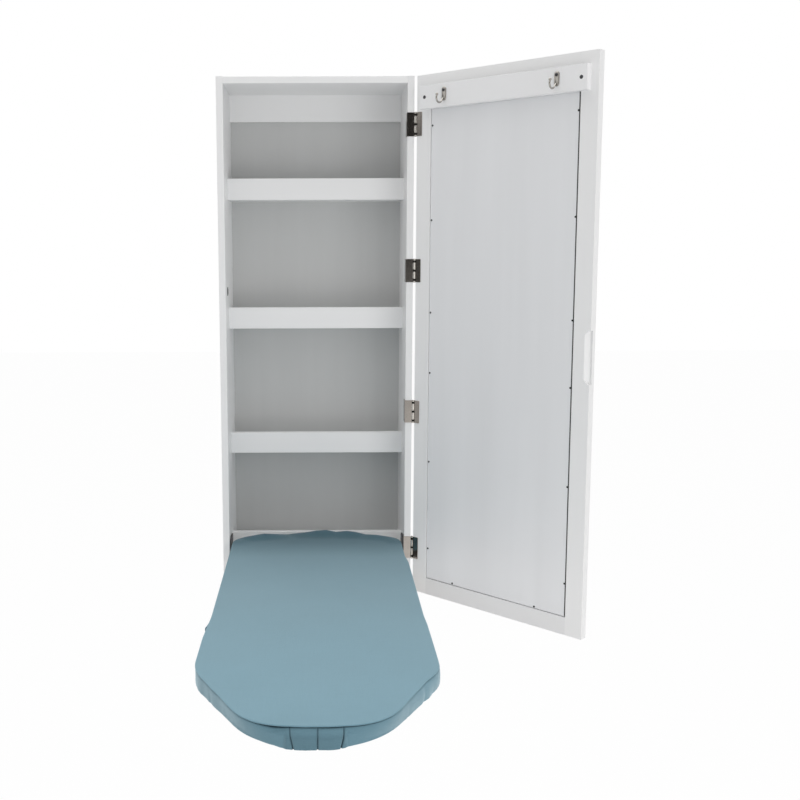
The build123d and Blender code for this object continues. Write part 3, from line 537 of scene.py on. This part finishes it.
DECK_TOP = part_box("board_deck")[1].z
DECK_CLEAR = -0.0005  # the cloth comes no further in than this beside the deck
BACK_WAVE = np.interp(
    ACROSS,
    (-0.165, -0.150, -0.117, -0.090, -0.061, -0.030, 0.0,
     0.022, 0.042, 0.067, 0.085, 0.105, 0.130, 0.160),
    (0.0026, 0.0046, 0.0062, 0.0036, 0.0002, 0.0036, 0.0070,
     0.0080, 0.0052, 0.0076, 0.0066, 0.0034, 0.0044, 0.0036))
BACK_WAVE *= 1.33 * AT_BACK
ROLL = 0.0011  # radius of the top's rounded edge
FLAT_LEVEL = TOP_LEVEL + 0.0006
EDGE_RISE = 0.0012 * bell(ACROSS, 0.0, 0.055) * IN_FRONT
EDGE_LEVEL = FLAT_LEVEL + EDGE_RISE
# Painted shade on the cloth, by its depth in front of the wall: darker at the rear, lighter at the nose
DEPTHS = (0.115, 0.185, 0.283, 0.400, 0.600, 0.684, 0.890)
DEPTH_SHADE = (0.43, 0.35, 0.12, 0.05, -0.07, -0.13, -0.22)


def pleat_lines(share):
    """Where the three seams of the box pleat are at one share of the way down the skirt."""
    return (-0.0353 + 0.0059 * share, 0.0020, 0.0372 - 0.0052 * share)


def pleat_seams(share):
    """1 on each of the pleat's seams and 0 beside them."""
    return sum(bell(ACROSS, seam, 0.0008) for seam in pleat_lines(share)) * IN_FRONT


def skirt_shade(share):
    """Painted shade on the skirt at one share of the way down: darker on the pleat's face and in its seams,
    lighter on the right cheek.
    """
    pleat_shade = 0.16 * PLATEAU * min(1.0, max(0.0, (share - 0.1) / 0.3))
    seams = pleat_seams(share) * (0.58 - 0.18 * bell(ACROSS, 0.002, 0.01))
    return pleat_shade - 0.12 * RIGHT_CHEEK + seams


def pleat(share):
    """How the box pleat in the middle of the nose stands out at one share of the way down the skirt."""
    seams = pleat_lines(share)
    beside = np.min([np.abs(ACROSS - seam) for seam in seams], axis=0)
    inside = (ACROSS > seams[0]) * (ACROSS < seams[2])
    return 0.0008 * inside * (1.0 - np.exp(-beside / 0.004)) * IN_FRONT - 0.0036 * pleat_seams(share)


def cover_rings():
    """Rings of the cover from its middle out and down to under the hem: plan, height, painted shade."""
    rings = []
    seam_out = SEAM_OUT + 0.85 * RIGHT_BULGE
    edge = PLAN + OUTWARD * seam_out[:, None]
    shoulder = edge - OUTWARD * ROLL
    # The top, from its middle out to the edge, with the loose wave at the rear and painted shade by depth
    for share in np.linspace(1.0, 0.0, 46, endpoint=False) ** 1.7:
        plan = shoulder + (SPINE - shoulder) * share
        crown = 0.0016 * (1.0 - (1.0 - share) ** 3)
        from_edge = share * np.linalg.norm(SPINE - shoulder, axis=1)
        rise = BACK_WAVE * np.exp(-(((from_edge - 0.011) / 0.015) ** 2))
        dents = np.array([noise.noise(Vector((x * 9.0, y * 7.0, 1.3))) for x, y in plan])
        height = FLAT_LEVEL + EDGE_RISE * (1.0 - share) ** 4 + crown + rise
        height = height + 0.0007 * dents * min(1.0, share * 6.0)
        rings.append((plan, height, np.interp(-plan[:, 1], DEPTHS, DEPTH_SHADE)))
    # The edge, rolled over, with painted shade by depth on its upper half
    for angle in (90, 65, 40, 20, 0, -25):
        turned = math.radians(angle)
        out = -ROLL * (1.0 - math.cos(turned))
        lift = BACK_WAVE * (0.30 + 0.284 * math.sin(max(turned, 0.0)))
        height = EDGE_LEVEL - ROLL * (1.0 - math.sin(turned)) + lift
        shade = np.interp(-PLAN[:, 1], DEPTHS, DEPTH_SHADE) if angle > 0 else 0.0
        rings.append((edge + OUTWARD * out, height, shade))
    # The gap below the edge, in to the seam and out again, with painted shade in it at the nose
    lip = EDGE_LEVEL - 1.45 * ROLL
    for share, drop in ((0.75, 0.1), (1.0, 0.3), (1.0, 0.7), (0.6, 1.0)):
        offset = seam_out - 0.0003 - share * SEAM_DEPTH
        height = lip - drop * SEAM_GAP + 0.3 * BACK_WAVE
        rings.append((PLAN + OUTWARD * offset[:, None], height, (0.2 + 0.6 * share) * IN_FRONT))
    # The skirt, down to the hem
    skirt_top = lip - 1.15 * SEAM_GAP
    skirt_foot = HEM_LEVEL + 0.0022 - HEM_DROP
    for share in np.concatenate((np.linspace(0.0, 0.2, 7), np.linspace(0.24, 1.0, 20))):
        offset = (seam_out - 0.0003) * (1.0 - share) + (HEM_OUT + RIGHT_BULGE) * share
        offset = offset - 0.25 * SEAM_DEPTH * (1.0 - share) ** 8
        offset = offset + 0.0026 * PLATEAU * math.sin(math.pi * share ** 0.7) ** 2
        offset = offset + SKIRT_FULLNESS * math.sin(math.pi * share ** 0.8)
        height = skirt_top + (skirt_foot - skirt_top) * share
        inner_limit = DECK_CLEAR - 0.75 * np.maximum(height - DECK_TOP - 0.0005, 0.0)
        offset = np.maximum(offset, inner_limit)
        offset = offset + PUCKERS * (0.25 + 0.75 * share) + GATHERS * share ** 2
        offset = np.maximum(offset + pleat(share), inner_limit)
        height = height + 0.28 * BACK_WAVE * (1 - share)
        rings.append((PLAN + OUTWARD * offset[:, None], height, skirt_shade(share)))
    # The hem, turned under the deck
    under = np.maximum(HEM_OUT + RIGHT_BULGE + PUCKERS + GATHERS + pleat(1.0), DECK_CLEAR)
    for inset, rise in ((0.0005, 0.0012), (0.0014, 0.0005), (0.0028, 0.0001),
                        (0.0052, 0.0), (0.0085, 0.0002)):
        offset = under - inset - (under + 0.0008) * min(1.0, inset / 0.0052)
        ruffle = GATHERS * 60.0 * inset
        height = HEM_LEVEL - HEM_DROP + rise + 0.5 * ruffle
        rings.append((PLAN + OUTWARD * offset[:, None], height, skirt_shade(1.0)))
    for plan, _, _ in rings:
        np.clip(plan[:, 0], -SIDE_LIMIT, SIDE_LIMIT, out=plan[:, 0])
    return rings


def ring_mesh(name, rings):
    """Object whose faces join each ring to the next."""
    points = []
    for plan, height, _ in rings:
        points += [(x, y, z) for (x, y), z in zip(plan, np.broadcast_to(height, COUNT))]
    faces = []
    for row in range(len(rings) - 1):
        for column in range(COUNT):
            beside = (column + 1) % COUNT
            first, second = row * COUNT, (row + 1) * COUNT
            faces.append((first + column, second + column, second + beside, first + beside))
    mesh = bpy.data.meshes.new(name)
    mesh.from_pydata(points, [], faces)
    shades = np.concatenate([np.broadcast_to(shade, COUNT) for _, _, shade in rings])
    mesh.attributes.new("shade", "FLOAT", "POINT").data.foreach_set("value", shades.astype(np.float32))
    form = bmesh.new()
    form.from_mesh(mesh)
    bmesh.ops.remove_doubles(form, verts=form.verts, dist=0.00002)
    bmesh.ops.recalc_face_normals(form, faces=form.faces)
    form.to_mesh(mesh)
    form.free()
    return added(name, smoothed(mesh))


def dress(piece, finish, body):
    """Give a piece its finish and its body."""
    piece.data.materials.append(FINISHES[finish])
    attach(piece, body)
    return piece


CLOTH_THICKNESS = 0.0009
cover = ring_mesh("ironing_cover", cover_rings())
thickness = cover.modifiers.new("thickness", "SOLIDIFY")
thickness.thickness = CLOTH_THICKNESS
thickness.offset = -1.0
dress(cover, "cover_fabric", "board")


def felt_pad():
    """Felt pad between the deck and the cover, swelling a little towards its middle."""
    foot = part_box("board_pad")[0].z
    rings = []
    lower = np.full(COUNT, -0.0022)
    upper = np.minimum(lower, SEAM_OUT - SEAM_DEPTH - 0.0020)
    for out, rise in ((lower, 0.0), (lower, 0.0025), ((lower + upper) / 2, 0.0055),
                      (upper, 0.0075), (upper - 0.0012, 0.0088), (upper - 0.0030, 0.0094)):
        rings.append((PLAN + OUTWARD * out[:, None], foot + rise, 0.0))
    shoulder = rings[-1][0]
    for share in (0.05, 0.12, 0.25, 0.45, 0.7, 1.0):
        rise = 0.0094 + 0.0010 * (1.0 - (1.0 - share) ** 3)
        rings.append((shoulder + (SPINE - shoulder) * share, foot + rise, 0.0))
    under = [(SPINE + (rings[0][0] - SPINE) * share, foot, 0.0) for share in (0.0, 0.5)]
    pad = ring_mesh("felt_pad", under + rings)
    return dress(pad, "pad_felt", "board")


pad = felt_pad()


def side_strap():
    """End of the cover's tightening strap: flat on the left flank, its free end standing off a little."""
    low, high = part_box("cover_tab")
    setback, lift = 0.012, 0.0066  # from the solid's own place
    rear, front = high.y + setback, low.y + setback
    middle = (low.z + high.z) / 2 + lift
    half_height = 0.0064
    strap_thickness, strap_limit = 0.0016, 0.1810
    along = np.linspace(0.0, 1.0, 41)
    y = rear + (front - rear) * along
    side = PLAN[ACROSS < -0.12]
    flank = np.interp(-y, -side[:, 1], side[:, 0])
    x = np.maximum(flank - 0.0002 - 0.0016 * along - 0.0030 * along ** 3, -strap_limit)
    points, faces = [], []
    rows = np.linspace(-1.0, 1.0, 9)
    for layer, inward in ((0, 0.0), (1, strap_thickness)):
        for place in range(len(along)):
            for row in rows:
                round_end = 0.0016 * max(0.0, along[place] - 0.93) / 0.07 * row ** 2
                hem = 0.0003 * bell(abs(row), 0.82, 0.07)
                points.append((x[place] + inward - hem * (1 - layer), y[place] + round_end,
                               middle - 0.0015 * along[place] + half_height * row))
    count = len(rows)
    per_layer = len(along) * count
    for layer in (0, 1):
        for place in range(len(along) - 1):
            for row in range(count - 1):
                first = layer * per_layer + place * count + row
                second = first + count
                faces.append((first, second, second + 1, first + 1))
    for row in range(count - 1):
        first = (len(along) - 1) * count + row
        faces.append((first, first + per_layer, first + per_layer + 1, first + 1))
    for place in range(len(along) - 1):
        for row in (0, count - 1):
            first = place * count + row
            faces.append((first, first + count, first + count + per_layer, first + per_layer))
    mesh = bpy.data.meshes.new("side_strap")
    mesh.from_pydata(points, [], faces)
    form = bmesh.new()
    form.from_mesh(mesh)
    bmesh.ops.recalc_face_normals(form, faces=form.faces)
    form.to_mesh(mesh)
    form.free()
    return dress(added("side_strap", smoothed(mesh)), "strap_fabric", "board")


strap = side_strap()


# ---------------------------------------------------------------- coat hooks


def wire(points, radius):
    """Mesh of a round wire through the points, as a smooth spline."""
    curve = bpy.data.curves.new("wire", "CURVE")
    curve.dimensions = "3D"
    curve.bevel_depth = radius
    curve.bevel_resolution = 5
    curve.resolution_u = 10
    curve.use_fill_caps = True
    spline = curve.splines.new("NURBS")
    spline.points.add(len(points) - 1)
    for point, place in zip(spline.points, points):
        point.co = (*place, 1.0)
    spline.order_u = 3
    spline.use_endpoint_u = True
    holder = bpy.data.objects.new("wire", curve)
    mesh = bpy.data.meshes.new_from_object(holder)
    bpy.data.objects.remove(holder)
    return mesh


def coat_hook(name, node):
    """Coat hook: a round-ended plate with a bent wire that ends in a small ball.

    It returns the place of the hook's screw.
    """
    along, out = DOOR_ALONG, DOOR_OUT
    plate_thickness, wire_radius, ball_radius, screw_below_top = 0.0022, 0.0016, 0.0027, 0.0062
    turns = 48
    corners = [vertex.co for vertex in NODES[node].data.vertices]
    face = min(corner.dot(out) for corner in corners)
    plate = [corner for corner in corners if corner.dot(out) < face + 0.001]
    sides = [corner.dot(along) for corner in plate]
    middle = (min(sides) + max(sides)) / 2
    half_width = (max(sides) - min(sides)) / 2
    low = min(corner.z for corner in plate)
    high = max(corner.z for corner in plate)

    def at(side, reach, height):
        return along * (middle + side) + out * (face + reach) + Vector((0.0, 0.0, height))

    form = bmesh.new()
    rings = []
    for inset, reach in ((0.0, 0.0), (0.0, 0.0010), (0.0003, 0.0015), (0.0010, 0.0019),
                         (0.0026, plate_thickness)):
        ring = []
        for turn in range(turns):
            angle = 2.0 * math.pi * (turn + 0.5) / turns
            radius = half_width - inset
            end = high - half_width if math.sin(angle) > 0 else low + half_width
            ring.append(form.verts.new(at(radius * math.cos(angle), reach, end + radius * math.sin(angle))))
        rings.append(ring)
    for lower, upper in zip(rings, rings[1:]):
        for turn in range(turns):
            form.faces.new((lower[turn], lower[turn - 1], upper[turn - 1], upper[turn]))
    form.faces.new(rings[-1])
    route = [at(0.0, *step) for step in (
        (0.0010, low + 0.0062), (0.0050, low + 0.0030), (0.0090, low - 0.0022), (0.0140, low - 0.0052),
        (0.0200, low - 0.0042), (0.0238, low + 0.0004), (0.0244, low + 0.0050), (0.0228, low + 0.0090))]
    form.from_mesh(wire(route, wire_radius))
    ball = bmesh.ops.create_uvsphere(form, u_segments=20, v_segments=12, radius=ball_radius)
    bmesh.ops.translate(form, verts=ball["verts"], vec=at(0.0, 0.0226, low + 0.0098))
    bmesh.ops.recalc_face_normals(form, faces=form.faces)
    mesh = bpy.data.meshes.new(name)
    form.to_mesh(mesh)
    form.free()
    hook = added(name, smoothed(mesh))
    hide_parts(node)
    dress(hook, "nickel", "door")
    return at(0.0, plate_thickness, high - screw_below_top)


def screw_heads(name, node, places):
    """Domed dark screw heads on the coat hooks' plates, each with a sunken cross."""
    head_radius, cross_depth = 0.0031, 0.0008
    form = bmesh.new()
    for place in places:
        head = bmesh.ops.create_uvsphere(form, u_segments=24, v_segments=12, radius=head_radius)
        for vertex in head["verts"]:
            reach = vertex.co.dot(DOOR_OUT)
            vertex.co -= DOOR_OUT * (0.2 * reach if reach > 0 else 0.5 * reach)
            from_cross = min(abs(vertex.co.z), abs(vertex.co.dot(DOOR_ALONG)))
            if reach > 0.0022 and from_cross < 0.0004:
                vertex.co -= DOOR_OUT * cross_depth
        bmesh.ops.translate(form, verts=head["verts"], vec=place)
    mesh = bpy.data.meshes.new(name)
    form.to_mesh(mesh)
    form.free()
    heads = added(name, mesh)
    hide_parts(node)
    return dress(heads, "dark_metal", "door")


screw_places = [coat_hook("hook_near_hinge", "coat_hook_left"),
                coat_hook("hook_near_pull", "coat_hook_right")]
screw_heads("hook_screw_heads", "coat_hook_screws", screw_places)


# ---------------------------------------------------------------- camera, lamps and stage


def place_camera():
    """Camera at the photograph's place, with its optical centre off the middle of the picture."""
    ahead = Vector((math.sin(CAMERA_YAW) * math.cos(CAMERA_PITCH),
                    math.cos(CAMERA_YAW) * math.cos(CAMERA_PITCH), -math.sin(CAMERA_PITCH)))
    level_right = Vector((math.cos(CAMERA_YAW), -math.sin(CAMERA_YAW), 0.0))
    level_up = level_right.cross(ahead)
    right = math.cos(CAMERA_ROLL) * level_right + math.sin(CAMERA_ROLL) * level_up
    up = -math.sin(CAMERA_ROLL) * level_right + math.cos(CAMERA_ROLL) * level_up
    turn = Matrix((right, up, -ahead)).transposed().to_4x4()
    data = bpy.data.cameras.new("camera")
    data.sensor_width = SENSOR_WIDTH
    data.lens = FOCAL_PIXELS * SENSOR_WIDTH / PICTURE_SIZE
    data.shift_x = (PICTURE_SIZE / 2 - OPTICAL_CENTRE[0]) / PICTURE_SIZE
    data.shift_y = (OPTICAL_CENTRE[1] - PICTURE_SIZE / 2) / PICTURE_SIZE
    camera = added("camera", data)
    camera.matrix_world = Matrix.Translation(CAMERA_PLACE) @ turn
    bpy.context.scene.camera = camera


def soft_light(name, place, target, size, power):
    """A large square studio lamp aimed at a point."""
    data = bpy.data.lights.new(name, "AREA")
    data.size = size
    data.energy = power
    lamp = added(name, data)
    lamp.location = place
    lamp.rotation_euler = (Vector(target) - Vector(place)).to_track_quat("-Z", "Y").to_euler()


def light_room(strength):
    """Room light, brighter from above, with a white room seen directly, in metal and through glass."""
    world = bpy.data.worlds.new("room")
    world.use_nodes = True
    tree = world.node_tree
    tree.nodes.clear()
    output = tree.nodes.new("ShaderNodeOutputWorld")
    seen = tree.nodes.new("ShaderNodeBackground")
    seen.inputs["Color"].default_value = (1.0, 1.0, 1.0, 1.0)
    lit = tree.nodes.new("ShaderNodeBackground")
    lit.inputs["Color"].default_value = (1.0, 1.0, 1.0, 1.0)
    height = tree.nodes.new("ShaderNodeSeparateXYZ")
    rise = tree.nodes.new("ShaderNodeMapRange")
    rise.inputs["From Min"].default_value = -0.5
    rise.inputs["From Max"].default_value = 0.5
    rise.inputs["To Max"].default_value = strength
    path = tree.nodes.new("ShaderNodeLightPath")
    glossy = tree.nodes.new("ShaderNodeMath")
    glossy.operation = "MAXIMUM"
    plain = tree.nodes.new("ShaderNodeMath")
    plain.operation = "MAXIMUM"
    mix = tree.nodes.new("ShaderNodeMixShader")
    tree.links.new(tree.nodes.new("ShaderNodeTexCoord").outputs["Generated"], height.inputs["Vector"])
    tree.links.new(height.outputs["Z"], rise.inputs["Value"])
    tree.links.new(rise.outputs["Result"], lit.inputs["Strength"])
    tree.links.new(path.outputs["Is Glossy Ray"], glossy.inputs[0])
    tree.links.new(path.outputs["Is Transmission Ray"], glossy.inputs[1])
    tree.links.new(path.outputs["Is Camera Ray"], plain.inputs[0])
    tree.links.new(glossy.outputs["Value"], plain.inputs[1])
    tree.links.new(plain.outputs["Value"], mix.inputs["Fac"])
    tree.links.new(lit.outputs["Background"], mix.inputs[1])
    tree.links.new(seen.outputs["Background"], mix.inputs[2])
    tree.links.new(mix.outputs["Shader"], output.inputs["Surface"])
    bpy.context.scene.world = world


def lay_floor():
    """Pale floor far below the cabinet, white to the eye but still taking its shadow."""
    reach, level = 12.0, -0.8
    corners = [(-reach, -reach, level), (reach, -reach, level), (reach, reach, level), (-reach, reach, level)]
    mesh = bpy.data.meshes.new("floor")
    mesh.from_pydata(corners, [], [(0, 1, 2, 3)])
    floor = added("floor", mesh)
    shader = Shader("pale_floor")
    shader.set(Roughness=0.9)
    tone = shader.ramp(shader.noise(2.0), ((0.3, (0.90, 0.90, 0.90)), (0.7, (0.91, 0.91, 0.91))))
    shader.link(tone, shader.surface.inputs["Base Color"])
    glow = shader.add("ShaderNodeEmission")
    path = shader.add("ShaderNodeLightPath")
    share = shader.math("MULTIPLY", path.outputs["Is Camera Ray"], 0.96)
    mix = shader.add("ShaderNodeMixShader")
    shader.link(share, mix.inputs["Fac"])
    shader.link(shader.surface.outputs["BSDF"], mix.inputs[1])
    shader.link(glow.outputs["Emission"], mix.inputs[2])
    shader.link(mix.outputs["Shader"], shader.output.inputs["Surface"])
    glow.inputs["Strength"].default_value = 1.0
    mesh.materials.append(shader.material)


def dark_flag(name, corners, darkness):
    """Black studio flag, fading out towards its edges. Only glossy rays see it: metal, glass and sheen."""
    mesh = bpy.data.meshes.new(name)
    mesh.from_pydata(corners, [], [(0, 1, 2, 3)])
    flag = added(name, mesh)
    shader = Shader(name)
    shader.set(Base_Color=(0.01, 0.01, 0.01, 1.0), Roughness=1.0, Specular_IOR_Level=0.0)
    clear = shader.add("ShaderNodeBsdfTransparent")
    spread = shader.add("ShaderNodeSeparateXYZ")
    shader.link(shader.add("ShaderNodeTexCoord").outputs["Generated"], spread.inputs["Vector"])
    share = shader.add("ShaderNodeLightPath").outputs["Is Glossy Ray"]
    wide = "Y" if corners[0][0] == corners[1][0] else "X"
    for side in (wide, "Z"):
        from_edge = shader.math("PINGPONG", spread.outputs[side], 0.5)
        solid = shader.math("MINIMUM", shader.math("MULTIPLY", from_edge, 6.0), 1.0)
        share = shader.math("MULTIPLY", share, solid)
    mix = shader.add("ShaderNodeMixShader")
    shader.link(shader.math("MULTIPLY", share, darkness), mix.inputs["Fac"])
    shader.link(clear.outputs["BSDF"], mix.inputs[1])
    shader.link(shader.surface.outputs["BSDF"], mix.inputs[2])
    shader.link(mix.outputs["Shader"], shader.output.inputs["Surface"])
    mesh.materials.append(shader.material)


place_camera()
dark_flag("front_flag", [(-0.9, -3.3, 0.1), (1.7, -3.3, 0.1), (1.7, -3.3, 2.7), (-0.9, -3.3, 2.7)],
          darkness=0.98)
dark_flag("left_flag", [(-3.0, -1.8, 0.0), (-3.0, 0.8, 0.0), (-3.0, 0.8, 1.5), (-3.0, -1.8, 1.5)],
          darkness=0.9)
light_room(strength=0.72)
soft_light("key", place=(1.6, -2.8, 0.4), target=(0.1, -0.2, 0.5), size=1.6, power=11.0)
soft_light("overhead", place=(0.0, 0.3, 2.9), target=(0.0, 0.3, 0.0), size=2.6, power=36.0)
soft_light("bounce", place=(0.2, -1.7, -0.65), target=(0.1, -0.1, 0.7), size=1.8, power=4.0)
lay_floor()

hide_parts("board_cover")
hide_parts("cover_tab")
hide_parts("board_pad")
bpy.context.scene.view_settings.view_transform = "Standard"
